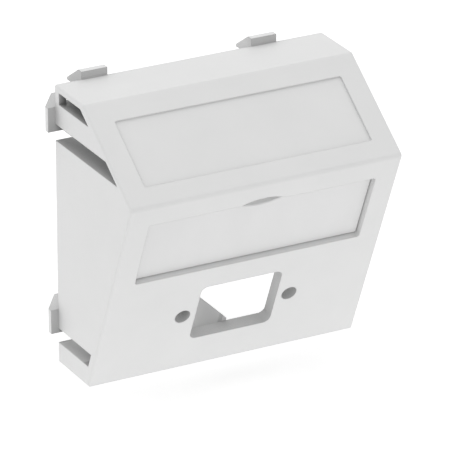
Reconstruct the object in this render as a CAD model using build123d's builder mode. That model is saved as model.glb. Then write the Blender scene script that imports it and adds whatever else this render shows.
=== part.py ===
from build123d import *
import os

# Slanted 45 mm outlet module that holds one fibre coupler, with a label field under a lift-off cover.
# Frame: +Z up, the sloping front looks towards -Y, the rear rim lies in the plane Y = 0 and the
# origin is the centre of the module in that plane. All lengths are in millimetres.

# Body
module_width = 45.0
module_height = 45.0
top_depth = 9.1
ridge_depth = 24.5
ridge_height = 34.0
foot_depth = 9.8

# Wall thicknesses
top_wall = 1.0
upper_wall = 1.2
lower_wall = 2.0
bottom_wall = 0.9
side_wall = 1.2

# Rounding of the outer edges
ridge_radius = 0.7
brow_radius = 0.5
foot_radius = 0.4
side_edge_radius = 0.35
inner_radius = 0.3

# Shallow field on the upper slope, for a glued label
upper_field_width = 37.6
upper_field_height = 11.75
upper_field_depth = 0.25
upper_field_from_ridge = 9.35
upper_field_radius = 0.3

# Label window on the lower slope, with its cover and paper strip
window_width = 37.6
window_height = 12.25
window_from_ridge = 10.0
window_radius = 0.4
cover_recess = 0.87
cover_thickness = 0.8
cover_clearance = 0.12
cover_edge_break = 0.12
label_thickness = 0.3
label_margin = 0.6
layer_gap = 0.02
tray_floor = 1.0
tray_rim = 1.6
window_depth = cover_recess + cover_thickness + label_thickness + 2 * layer_gap

# Fingernail pocket across the upper edge of the window: an arc in the wall, and a wider one in
# the cover below it, both measured from the edge of the window
notch_width = 7.6
notch_height = 0.8
notch_depth = 2.4
nail_cut_width = 10.0
nail_cut_height = 1.35

# Opening for the fibre coupler and its two screw holes
cutout_width = 13.6
cutout_height = 10.95
cutout_radius = 1.1
cutout_from_ridge = 25.65
screw_pitch = 18.0
screw_hole_diameter = 2.5

# Slots in the side walls, the upper one placed from the top and the others from the bottom
top_slot_from_top = 0.9
top_slot_height = 1.85
top_slot_rear = 1.3
top_slot_rim = 1.2
arm_slot_low = 36.2
arm_slot_high = 38.8
arm_slot_rim = 0.8
foot_slot_low = 3.4
foot_slot_high = 5.7
foot_slot_rim = 1.3

# Ribs that line the slots inside, and the low rib on the floor
rib_thickness = 1.0
rib_reach = 4.0
floor_rib_thickness = 0.8
floor_rib_height = 7.5
floor_rib_bevel = 0.8

# Snap hooks behind the rear rim, heights measured outwards from the wall they stand on.
# Starts are measured from the left edge, for the sides from the bottom.
top_hook_starts = (4.4, 32.75)
foot_hook_starts = (8.0, 39.2)
top_hook_length = 4.25
top_hook_rise = 1.2
top_hook_land = 1.1
top_hook_reach = 4.95
top_hook_tip = -1.35
top_hook_inner = -1.7
side_hook_starts = (4.95, 37.6)
side_hook_length = 3.85
side_hook_rise = 1.2
side_hook_land = 0.9
side_hook_reach = 5.25
side_hook_tip = -1.9
side_hook_inner = -2.6
hook_root_depth = 2.9

half_width = module_width / 2
half_height = module_height / 2
top_slot_high = module_height - top_slot_from_top
top_slot_low = top_slot_high - top_slot_height


def height(above_bottom):
    return above_bottom - half_height


brow = Vector(0, -top_depth, half_height)
ridge = Vector(0, -ridge_depth, height(ridge_height))
foot = Vector(0, -foot_depth, -half_height)

# Working planes on the two slopes: X to the right, Y up the slope, Z outwards
upper_face = Plane(origin=ridge, x_dir=(1, 0, 0), z_dir=Vector(1, 0, 0).cross(brow - ridge))
lower_face = Plane(origin=ridge, x_dir=(1, 0, 0), z_dir=Vector(1, 0, 0).cross(ridge - foot))


def depth_on_upper(z, inset):
    """Y of the upper slope at height z, moved inwards square to the slope by inset."""
    along = (half_height - z) / (half_height - ridge.Z)
    surface = -top_depth + along * (top_depth - ridge_depth)
    return surface + inset / abs(upper_face.z_dir.Y)


def depth_on_lower(z, inset):
    """Y of the lower slope at height z, moved inwards square to the slope by inset."""
    along = (z + half_height) / (ridge.Z + half_height)
    surface = -foot_depth + along * (foot_depth - ridge_depth)
    return surface + inset / abs(lower_face.z_dir.Y)


def inner_ridge():
    """Meeting point of the inner faces of the two slopes, by halving between floor and roof."""
    low = -half_height
    high = half_height
    for _ in range(60):
        middle = (low + high) / 2
        if depth_on_lower(middle, lower_wall) > depth_on_upper(middle, upper_wall):
            low = middle
        else:
            high = middle
    return low


inner_top = half_height - top_wall
inner_bottom = -half_height + bottom_wall
inner_ridge_z = inner_ridge()


def hook_section(rise, land, reach, tip, inner):
    """Side view of a snap hook: square catch face, narrow land, long ramp and blunt tip."""
    return [(0, inner), (0, rise), (land, rise), (reach, tip), (reach, inner)]


# One snap hook for the top wall, from X = 0 to the right, wall surface at Z = 0
with BuildPart() as top_hook:
    with BuildSketch(Plane.YZ):
        with BuildLine():
            Polyline(
                hook_section(top_hook_rise, top_hook_land, top_hook_reach, top_hook_tip, top_hook_inner),
                close=True,
            )
        make_face()
    extrude(amount=top_hook_length)

# One snap hook for a side wall, laid flat in the same way
with BuildPart() as side_hook:
    with BuildSketch(Plane.YZ):
        with BuildLine():
            Polyline(
                hook_section(side_hook_rise, side_hook_land, side_hook_reach, side_hook_tip, side_hook_inner),
                close=True,
            )
        make_face()
    extrude(amount=side_hook_length)

window_top = -window_from_ridge + window_height / 2
notch_radius = (notch_width**2 / 4 + notch_height**2) / (2 * notch_height)
nail_cut_radius = (nail_cut_width**2 / 4 + nail_cut_height**2) / (2 * nail_cut_height)

# The moulded housing
with BuildPart() as housing:
    # Solid wedge with rounded brow, ridge and foot
    with BuildSketch(Plane.YZ) as profile:
        with BuildLine():
            Polyline(
                (0, -half_height),
                (0, half_height),
                (brow.Y, brow.Z),
                (ridge.Y, ridge.Z),
                (foot.Y, foot.Z),
                close=True,
            )
        make_face()
        fillet(profile.vertices().sort_by(Axis.X)[0], radius=ridge_radius)
        front_corners = profile.vertices().filter_by(lambda v: v.X < -1)
        fillet(front_corners.sort_by(Axis.Y)[-1], radius=brow_radius)
        fillet(front_corners.sort_by(Axis.Y)[0], radius=foot_radius)
    extrude(amount=half_width, both=True)
    side_edges = housing.faces().filter_by(Axis.X).edges()
    fillet(side_edges.filter_by(lambda e: e.center().Y < -0.01), radius=side_edge_radius)

    # Hollow, open at the rear
    with BuildSketch(Plane.YZ) as hollow:
        with BuildLine():
            Polyline(
                (1, inner_bottom),
                (1, inner_top),
                (depth_on_upper(inner_top, upper_wall), inner_top),
                (depth_on_upper(inner_ridge_z, upper_wall), inner_ridge_z),
                (depth_on_lower(inner_bottom, lower_wall), inner_bottom),
                close=True,
            )
        make_face()
        fillet(hollow.vertices().filter_by(lambda v: v.X < 0), radius=inner_radius)
    extrude(amount=half_width - side_wall, both=True, mode=Mode.SUBTRACT)

    # Tray behind the label window, thicker than the wall
    with BuildSketch(lower_face.offset(-lower_wall / 2)):
        with Locations((0, -window_from_ridge)):
            Rectangle(window_width + 2 * tray_rim, window_height + 2 * tray_rim)
    extrude(amount=-(window_depth + tray_floor - lower_wall / 2))

    # Ribs lining the slots, on both sides
    rib_levels = (
        top_slot_low - rib_thickness,
        arm_slot_high,
        arm_slot_low - rib_thickness,
        foot_slot_high,
        foot_slot_low - rib_thickness,
    )
    for level in rib_levels:
        low = height(level)
        middle = low + rib_thickness / 2
        front = max(depth_on_upper(middle, upper_wall / 2), depth_on_lower(middle, lower_wall / 2))
        for side in (-1, 1):
            with BuildSketch(Plane.XY.offset(low)):
                with Locations((side * (half_width - side_wall / 2), front)):
                    Rectangle(
                        rib_reach - side_wall / 2,
                        -front,
                        align=(Align.MIN if side < 0 else Align.MAX, Align.MIN),
                    )
            extrude(amount=rib_thickness)

    # Low rib on the floor, bevelled to a sharp top
    rib_top = height(floor_rib_height)
    rib_base = inner_bottom - bottom_wall / 2
    with BuildSketch(Plane.YZ):
        with BuildLine():
            Polyline(
                (0, rib_base),
                (0, rib_top),
                (depth_on_lower(rib_top, lower_wall / 2), rib_top),
                (depth_on_lower(rib_base, lower_wall / 2), rib_base),
                close=True,
            )
        make_face()
    extrude(amount=floor_rib_thickness / 2, both=True)
    with BuildSketch(Plane.XZ):
        with BuildLine():
            Polyline(
                (-floor_rib_thickness / 2, rib_top),
                (floor_rib_thickness / 2, rib_top),
                (floor_rib_thickness / 2, rib_top - floor_rib_bevel),
                close=True,
            )
        make_face()
    extrude(amount=-depth_on_lower(rib_top, lower_wall), mode=Mode.SUBTRACT)

    # Label window with its fingernail pocket
    with BuildSketch(lower_face):
        with Locations((0, -window_from_ridge)):
            RectangleRounded(window_width, window_height, window_radius)
    extrude(amount=-window_depth, mode=Mode.SUBTRACT)
    with BuildSketch(lower_face):
        with Locations((0, window_top + notch_height - notch_radius)):
            Circle(notch_radius)
        with Locations((0, window_top - nail_cut_height + nail_cut_radius)):
            Circle(nail_cut_radius, mode=Mode.INTERSECT)
    extrude(amount=-notch_depth, mode=Mode.SUBTRACT)

    # Shallow field on the upper slope
    with BuildSketch(upper_face):
        with Locations((0, upper_field_from_ridge)):
            RectangleRounded(upper_field_width, upper_field_height, upper_field_radius)
    extrude(amount=-upper_field_depth, mode=Mode.SUBTRACT)

    # Coupler opening and screw holes
    with BuildSketch(lower_face):
        with Locations((0, -cutout_from_ridge)):
            RectangleRounded(cutout_width, cutout_height, cutout_radius)
            with GridLocations(screw_pitch, 0, 2, 1):
                Circle(screw_hole_diameter / 2)
    extrude(amount=-lower_wall, mode=Mode.SUBTRACT)

    # Roots that carry the snap hooks, inside the walls
    for edge, starts in ((1, top_hook_starts), (-1, foot_hook_starts)):
        for start in starts:
            with BuildSketch(Plane.XY.offset(edge * (half_height + top_hook_inner))):
                with Locations((start - half_width, 0)):
                    Rectangle(top_hook_length, hook_root_depth, align=(Align.MIN, Align.MAX))
            extrude(amount=edge * (-top_hook_inner - bottom_wall / 2))
    for start in side_hook_starts:
        for side in (-1, 1):
            with BuildSketch(Plane.XY.offset(height(start))):
                with Locations((side * (half_width + side_hook_inner), 0)):
                    Rectangle(
                        -side_hook_inner - side_wall / 2,
                        hook_root_depth,
                        align=(Align.MIN if side > 0 else Align.MAX, Align.MAX),
                    )
            extrude(amount=side_hook_length)

    # Slots through the side walls
    for side in (-1, 1):
        with BuildSketch(Plane.YZ.offset(side * half_width)):
            low = height(top_slot_low)
            high = height(top_slot_high)
            with BuildLine():
                Polyline(
                    (-top_slot_rear, low),
                    (-top_slot_rear, high),
                    (depth_on_upper(high, top_slot_rim), high),
                    (depth_on_upper(low, top_slot_rim), low),
                    close=True,
                )
            make_face()
            low = height(arm_slot_low)
            high = height(arm_slot_high)
            with BuildLine():
                Polyline(
                    (1, low),
                    (1, high),
                    (depth_on_upper(high, arm_slot_rim), high),
                    (depth_on_upper(low, arm_slot_rim), low),
                    close=True,
                )
            make_face()
            low = height(foot_slot_low)
            high = height(foot_slot_high)
            with BuildLine():
                Polyline(
                    (1, low),
                    (1, high),
                    (depth_on_lower(high, foot_slot_rim), high),
                    (depth_on_lower(low, foot_slot_rim), low),
                    close=True,
                )
            make_face()
        extrude(amount=-side * side_wall, mode=Mode.SUBTRACT)

    # Snap hooks: two on top, two below and two on each side
    for start in top_hook_starts:
        add(top_hook.part.moved(Location((start - half_width, 0, half_height))))
    for start in foot_hook_starts:
        mirror(top_hook.part.moved(Location((start - half_width, 0, half_height))), about=Plane.XY)
    for start in side_hook_starts:
        upright = Plane(
            origin=(half_width, 0, height(start) + side_hook_length),
            x_dir=(0, 0, -1),
            z_dir=(1, 0, 0),
        )
        hook = side_hook.part.moved(upright.location)
        add(hook)
        mirror(hook, about=Plane.YZ)

housing.part.label = "housing"

# Paper strip that lies in the label window
with BuildPart() as label_strip:
    with BuildSketch(lower_face.offset(-(cover_recess + cover_thickness + layer_gap))):
        with Locations((0, -window_from_ridge)):
            Rectangle(window_width - 2 * label_margin, window_height - 2 * label_margin)
    extrude(amount=-label_thickness)

label_strip.part.label = "label_strip"

# Lift-off cover over the paper strip
with BuildPart() as label_cover:
    with BuildSketch(lower_face.offset(-cover_recess)):
        with Locations((0, -window_from_ridge)):
            RectangleRounded(
                window_width - 2 * cover_clearance,
                window_height - 2 * cover_clearance,
                window_radius - cover_clearance,
            )
        with Locations((0, window_top - nail_cut_height + nail_cut_radius)):
            Circle(nail_cut_radius, mode=Mode.SUBTRACT)
    extrude(amount=-cover_thickness)
    front = label_cover.faces().sort_by(Axis((0, 0, 0), lower_face.z_dir))[-1]
    chamfer(front.edges(), length=cover_edge_break)

label_cover.part.label = "label_cover"

os.makedirs("parts", exist_ok=True)
export_step(housing.part, "parts/housing.step")
export_step(label_strip.part, "parts/label_strip.step")
export_step(label_cover.part, "parts/label_cover.step")
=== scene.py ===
import math

import bpy
from mathutils import Matrix, Vector


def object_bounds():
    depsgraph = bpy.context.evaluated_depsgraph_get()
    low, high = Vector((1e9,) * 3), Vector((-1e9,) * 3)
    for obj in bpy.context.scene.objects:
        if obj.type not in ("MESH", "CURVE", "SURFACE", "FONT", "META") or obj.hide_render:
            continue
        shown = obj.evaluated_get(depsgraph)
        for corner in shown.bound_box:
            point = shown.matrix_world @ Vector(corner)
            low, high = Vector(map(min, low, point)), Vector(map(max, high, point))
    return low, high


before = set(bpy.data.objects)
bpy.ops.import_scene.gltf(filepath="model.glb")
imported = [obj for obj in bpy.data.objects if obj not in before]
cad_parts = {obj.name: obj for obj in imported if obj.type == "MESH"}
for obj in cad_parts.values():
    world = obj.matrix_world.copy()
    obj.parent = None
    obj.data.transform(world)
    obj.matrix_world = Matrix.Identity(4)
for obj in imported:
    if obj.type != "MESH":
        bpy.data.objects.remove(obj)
cad_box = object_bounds()
scene = bpy.context.scene

MM = 0.001

# Camera, fitted to the photograph: view direction, roll, focal length in pixels of a 457 pixel
# wide picture, and where the point AIM lies in camera coordinates (right, up, away), in metres
AZIMUTH = math.radians(-28.0632)
ELEVATION = math.radians(23.5794)
ROLL = math.radians(-0.0208)
FOCAL_PX = 4879.0343
PICTURE_PX = 457
SENSOR_MM = 36.0
AIM = Vector((0, -0.009, 0))
AIM_SEEN = Vector((-0.0013881, 0.0015373, 0.7271353))
CLIP_NEAR = 0.01
CLIP_FAR = 50.0

# Outward directions of the housing's faces
UP = (0, 0, 1)
FRONT = (0, -1, 0)
UPPER_SLOPE = (0, -0.5812, 0.8137)
LOWER_SLOPE = (0, -0.917883615, -0.396849681)

# Shade painted into the colour of the housing's recesses: how far away a wall still counts, and
# stops of (share of the directions that are open, share of the colour that is left)
RECESS_REACH_MM = 25.0
RECESS_STOPS = (
    (0.0, 0.2),
    (0.25, 0.36),
    (0.3, 0.46),
    (0.38, 0.58),
    (0.55, 0.68),
    (0.8, 0.69),
    (0.92, 0.82),
    (1.0, 1.0),
)

# Share of that shade that is taken back in the label window, in the space behind the coupler
# opening, on the top face beside the hooks and in the field of the upper slope
WINDOW_RELIEF = 0.8
INSIDE_RELIEF = 0.6
TOP_RELIEF = 0.9
FIELD_RELIEF = 0.8

PLASTIC_IOR = 1.5
WHITE = (1, 1, 1, 1)
FLOOR_COLOUR = (0.88, 0.88, 0.88, 1)
FLOOR_HALF_SIDE = 3.0


def make_camera():
    back = Vector(
        (
            math.sin(AZIMUTH) * math.cos(ELEVATION),
            -math.cos(AZIMUTH) * math.cos(ELEVATION),
            math.sin(ELEVATION),
        )
    )
    flat_right = Vector((math.cos(AZIMUTH), math.sin(AZIMUTH), 0))
    flat_up = back.cross(flat_right)
    right = math.cos(ROLL) * flat_right + math.sin(ROLL) * flat_up
    up = -math.sin(ROLL) * flat_right + math.cos(ROLL) * flat_up
    place = AIM - right * AIM_SEEN.x - up * AIM_SEEN.y + back * AIM_SEEN.z
    data = bpy.data.cameras.new("camera")
    data.sensor_fit = "HORIZONTAL"
    data.sensor_width = SENSOR_MM
    data.lens = FOCAL_PX / PICTURE_PX * SENSOR_MM
    data.clip_start = CLIP_NEAR
    data.clip_end = CLIP_FAR
    camera = bpy.data.objects.new("camera", data)
    turn = Matrix((right, up, back)).transposed().to_4x4()
    camera.matrix_world = Matrix.Translation(place) @ turn
    scene.collection.objects.link(camera)
    scene.camera = camera


class Tree:
    """Short names for building a material's nodes."""

    def __init__(self, name):
        self.material = bpy.data.materials.new(name)
        self.material.use_nodes = True
        self.nodes = self.material.node_tree.nodes
        self.links = self.material.node_tree.links
        self.shader = self.nodes["Principled BSDF"]
        self.output = self.nodes["Material Output"]
        self.coords = self.nodes.new("ShaderNodeTexCoord").outputs["Object"]

    def link(self, source, target):
        self.links.new(source, target)

    def stretch(self, scale):
        node = self.nodes.new("ShaderNodeMapping")
        node.inputs["Scale"].default_value = scale
        self.link(self.coords, node.inputs["Vector"])
        return node.outputs["Vector"]

    def noise(self, size_mm, detail=2.0, roughness=0.5, vector=None):
        """Noise whose grains are about size_mm across."""
        node = self.nodes.new("ShaderNodeTexNoise")
        node.inputs["Scale"].default_value = 1.0 / (size_mm * MM)
        node.inputs["Detail"].default_value = detail
        node.inputs["Roughness"].default_value = roughness
        self.link(self.coords if vector is None else vector, node.inputs["Vector"])
        return node.outputs["Fac"]

    def span(self, value, low, high, source_low=0.3, source_high=0.7):
        """The value brought from its own range, which is a noise's if none is given, to another."""
        node = self.nodes.new("ShaderNodeMapRange")
        node.inputs["From Min"].default_value = source_low
        node.inputs["From Max"].default_value = source_high
        node.inputs["To Min"].default_value = low
        node.inputs["To Max"].default_value = high
        self.link(value, node.inputs["Value"])
        return node.outputs["Result"]

    def tint(self, value, dark, light):
        """A colour that runs from dark to light with a noise's value."""
        node = self.nodes.new("ShaderNodeMix")
        node.data_type = "RGBA"
        node.inputs["A"].default_value = (*dark, 1)
        node.inputs["B"].default_value = (*light, 1)
        self.link(self.span(value, low=0.0, high=1.0), node.inputs["Factor"])
        return node.outputs["Result"]

    def maths(self, operation, a, b):
        node = self.nodes.new("ShaderNodeMath")
        node.operation = operation
        for socket, value in zip(node.inputs, (a, b)):
            if isinstance(value, (int, float)):
                socket.default_value = value
            else:
                self.link(value, socket)
        return node.outputs["Value"]

    def chain(self, operation, first, *others):
        """The operation on two values, then on its result and the next one, and so on."""
        for other in others:
            first = self.maths(operation, first, other)
        return first

    def rest_of(self, value):
        """What is left of 1 when the value is taken away."""
        return self.maths("SUBTRACT", 1.0, value)

    def bump(self, height, depth_mm, before=None):
        node = self.nodes.new("ShaderNodeBump")
        node.inputs["Strength"].default_value = 1.0
        node.inputs["Distance"].default_value = depth_mm * MM
        self.link(height, node.inputs["Height"])
        if before is not None:
            self.link(before, node.inputs["Normal"])
        return node.outputs["Normal"]

    def soft_edges(self, radius_mm):
        node = self.nodes.new("ShaderNodeBevel")
        node.samples = 6
        node.inputs["Radius"].default_value = radius_mm * MM
        return node.outputs["Normal"]

    def along(self, direction, start_mm, end_mm):
        """0 to 1 between two distances along a direction from the origin."""
        node = self.nodes.new("ShaderNodeVectorMath")
        node.operation = "DOT_PRODUCT"
        node.inputs[1].default_value = direction
        self.link(self.coords, node.inputs[0])
        return self.span(node.outputs["Value"], 0.0, 1.0, start_mm * MM, end_mm * MM)

    def curve(self, value, stops):
        """The value led through (value, result) stops, of which the ends lie at 0 and at 1."""
        node = self.nodes.new("ShaderNodeValToRGB")
        steps = node.color_ramp.elements
        for place, _ in stops[1:-1]:
            steps.new(place)
        for step, (_, level) in zip(steps, stops):
            step.color = (level, level, level, 1)
        self.link(value, node.inputs["Fac"])
        return node.outputs["Color"]

    def recess_shade(self, colour, relief):
        """The colour, darker where walls close by shut out the light, and less so by relief."""
        walls = self.nodes.new("ShaderNodeAmbientOcclusion")
        walls.samples = 12
        walls.only_local = True
        walls.inputs["Distance"].default_value = RECESS_REACH_MM * MM
        lost = self.rest_of(self.curve(walls.outputs["AO"], RECESS_STOPS))
        kept = self.rest_of(self.maths("MULTIPLY", lost, self.rest_of(relief)))
        node = self.nodes.new("ShaderNodeMix")
        node.data_type = "RGBA"
        node.blend_type = "MULTIPLY"
        node.inputs["Factor"].default_value = 1.0
        self.link(colour, node.inputs["A"])
        self.link(kept, node.inputs["B"])
        return node.outputs["Result"]


def shade_relief(tree):
    """Share of the recess shade that is taken back, worked out from where a point lies."""
    near_lower_slope = tree.along(LOWER_SLOPE, start_mm=14.9, end_mm=15.3)
    near_upper_slope = tree.along(UPPER_SLOPE, start_mm=22.7, end_mm=23.1)
    near_top = tree.along(UP, start_mm=22.1, end_mm=22.4)
    above_opening = tree.along(UP, start_mm=-5.5, end_mm=-4.5)
    before_rim = tree.along(FRONT, start_mm=0.1, end_mm=0.5)
    behind_slope = tree.rest_of(near_lower_slope)
    low_down = tree.rest_of(above_opening)
    window = tree.chain("MULTIPLY", near_lower_slope, above_opening, WINDOW_RELIEF)
    inside = tree.chain("MULTIPLY", behind_slope, low_down, before_rim, INSIDE_RELIEF)
    top = tree.chain("MULTIPLY", near_top, before_rim, TOP_RELIEF)
    field = tree.maths("MULTIPLY", near_upper_slope, FIELD_RELIEF)
    return tree.chain("MAXIMUM", window, inside, top, field)


def housing_plastic():
    """White moulded plastic with the fine grain of a spark-eroded mould and painted recess shade.
    """
    tree = Tree("housing_plastic")
    patches = tree.noise(size_mm=9.0, detail=3.0, roughness=0.55)
    grain = tree.noise(size_mm=0.16, roughness=0.6)
    coarse = tree.noise(size_mm=0.55)
    colour = tree.tint(patches, dark=(0.775, 0.777, 0.775), light=(0.8, 0.801, 0.799))
    # Painted shade: the colour is darkened where the housing's own walls close in
    shaded = tree.recess_shade(colour, shade_relief(tree))
    tree.link(shaded, tree.shader.inputs["Base Color"])
    wide = tree.span(patches, low=0.40, high=0.46)
    fine = tree.span(coarse, low=-0.04, high=0.04)
    tree.link(tree.maths("ADD", wide, fine), tree.shader.inputs["Roughness"])
    normal = tree.bump(grain, depth_mm=0.006, before=tree.soft_edges(radius_mm=0.25))
    normal = tree.bump(coarse, depth_mm=0.006, before=normal)
    tree.link(normal, tree.shader.inputs["Normal"])
    tree.shader.inputs["IOR"].default_value = PLASTIC_IOR
    return tree.material


def label_paper():
    """Plain white card with short fibres."""
    tree = Tree("label_paper")
    lengthwise = tree.stretch((0.35, 1.0, 1.0))
    fibres = tree.noise(size_mm=0.5, detail=3.0, roughness=0.6, vector=lengthwise)
    mottle = tree.noise(size_mm=1.6)
    colour = tree.tint(mottle, dark=(0.83, 0.83, 0.82), light=(0.87, 0.87, 0.86))
    tree.link(colour, tree.shader.inputs["Base Color"])
    tree.link(tree.span(fibres, low=0.78, high=0.9), tree.shader.inputs["Roughness"])
    tree.link(tree.bump(fibres, depth_mm=0.012), tree.shader.inputs["Normal"])
    return tree.material


def cover_plastic():
    """Smooth pale plastic of the label cover, glossier than the housing."""
    tree = Tree("cover_plastic")
    upright = tree.stretch((1.0, 0.4, 0.4))
    flow = tree.noise(size_mm=5.0, detail=3.0, vector=upright)
    grain = tree.noise(size_mm=0.4)
    colour = tree.tint(flow, dark=(0.775, 0.775, 0.775), light=(0.80, 0.80, 0.80))
    tree.link(colour, tree.shader.inputs["Base Color"])
    wide = tree.span(flow, low=0.36, high=0.40)
    fine = tree.span(grain, low=-0.02, high=0.02)
    tree.link(tree.maths("ADD", wide, fine), tree.shader.inputs["Roughness"])
    tree.link(tree.bump(grain, depth_mm=0.001), tree.shader.inputs["Normal"])
    tree.shader.inputs["IOR"].default_value = PLASTIC_IOR
    return tree.material


def dress(node, material):
    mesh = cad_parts[node].data
    mesh.materials.clear()
    mesh.materials.append(material)


def seen_directly(nodes, links):
    """1 for rays of the camera, of a mirror image or through clear material, else 0."""
    path = nodes.new("ShaderNodeLightPath")
    total = path.outputs["Is Camera Ray"]
    for name in ("Is Glossy Ray", "Is Transmission Ray"):
        either = nodes.new("ShaderNodeMath")
        either.operation = "MAXIMUM"
        links.new(total, either.inputs[0])
        links.new(path.outputs[name], either.inputs[1])
        total = either.outputs["Value"]
    return total


def make_world():
    """Soft studio light, a little stronger from the left, and a white backdrop where it is seen."""
    world = bpy.data.worlds.new("studio")
    world.use_nodes = True
    nodes = world.node_tree.nodes
    links = world.node_tree.links
    backdrop = nodes["Background"]
    backdrop.inputs["Color"].default_value = WHITE
    backdrop.inputs["Strength"].default_value = 1.0
    sky = nodes.new("ShaderNodeBackground")
    sky.inputs["Color"].default_value = WHITE
    around = nodes.new("ShaderNodeTexCoord")
    across = nodes.new("ShaderNodeSeparateXYZ")
    strength = nodes.new("ShaderNodeMapRange")
    left_to_right = {"From Min": -0.9, "From Max": 0.3, "To Min": 0.77, "To Max": 0.68}
    for name, value in left_to_right.items():
        strength.inputs[name].default_value = value
    links.new(around.outputs["Generated"], across.inputs["Vector"])
    links.new(across.outputs["X"], strength.inputs["Value"])
    links.new(strength.outputs["Result"], sky.inputs["Strength"])
    mix = nodes.new("ShaderNodeMixShader")
    links.new(seen_directly(nodes, links), mix.inputs["Fac"])
    links.new(sky.outputs["Background"], mix.inputs[1])
    links.new(backdrop.outputs["Background"], mix.inputs[2])
    links.new(mix.outputs["Shader"], nodes["World Output"].inputs["Surface"])
    scene.world = world


def floor_paper():
    """White paper that shows the module's shadow and lights the module with a glow of its own."""
    tree = Tree("floor_paper")
    tree.nodes.remove(tree.shader)
    length = tree.nodes.new("ShaderNodeVectorMath")
    length.operation = "LENGTH"
    tree.link(tree.coords, length.inputs[0])
    distance = length.outputs["Value"]
    paper = tree.nodes.new("ShaderNodeBsdfDiffuse")
    paper.inputs["Color"].default_value = FLOOR_COLOUR
    glow = tree.nodes.new("ShaderNodeEmission")
    glow_strength = tree.span(distance, low=0.36, high=0.45, source_low=0.05, source_high=0.4)
    tree.link(glow_strength, glow.inputs["Strength"])
    seen = tree.nodes.new("ShaderNodeAddShader")
    tree.link(paper.outputs["BSDF"], seen.inputs[0])
    tree.link(glow.outputs["Emission"], seen.inputs[1])
    back = tree.nodes.new("ShaderNodeEmission")
    back_strength = tree.span(distance, low=1.02, high=0.89, source_low=0.04, source_high=0.12)
    tree.link(back_strength, back.inputs["Strength"])
    mix = tree.nodes.new("ShaderNodeMixShader")
    tree.link(seen_directly(tree.nodes, tree.links), mix.inputs["Fac"])
    tree.link(back.outputs["Emission"], mix.inputs[1])
    tree.link(seen.outputs["Shader"], mix.inputs[2])
    tree.link(mix.outputs["Shader"], tree.output.inputs["Surface"])
    return tree.material


def make_floor(level):
    mesh = bpy.data.meshes.new("floor")
    far = FLOOR_HALF_SIDE
    corners = [(-far, -far, level), (far, -far, level), (far, far, level), (-far, far, level)]
    mesh.from_pydata(corners, [], [(0, 1, 2, 3)])
    mesh.materials.append(floor_paper())
    floor = bpy.data.objects.new("floor", mesh)
    scene.collection.objects.link(floor)


def area_light(name, place, size, watts):
    """A square lamp that shines at the origin."""
    data = bpy.data.lights.new(name, "AREA")
    data.shape = "SQUARE"
    data.size = size
    data.energy = watts
    lamp = bpy.data.objects.new(name, data)
    lamp.location = place
    lamp.rotation_euler = (-Vector(place)).to_track_quat("-Z", "Y").to_euler()
    scene.collection.objects.link(lamp)


make_camera()
dress("housing", housing_plastic())
dress("label_strip", label_paper())
dress("label_cover", cover_plastic())

make_world()
make_floor(cad_box[0][2])
area_light("top_light", place=(0.08, 0.32, 0.85), size=1.4, watts=3.3)
area_light("front_light", place=(0.1, -0.86, 0.02), size=0.4, watts=0.35)

scene.view_settings.view_transform = "Standard"
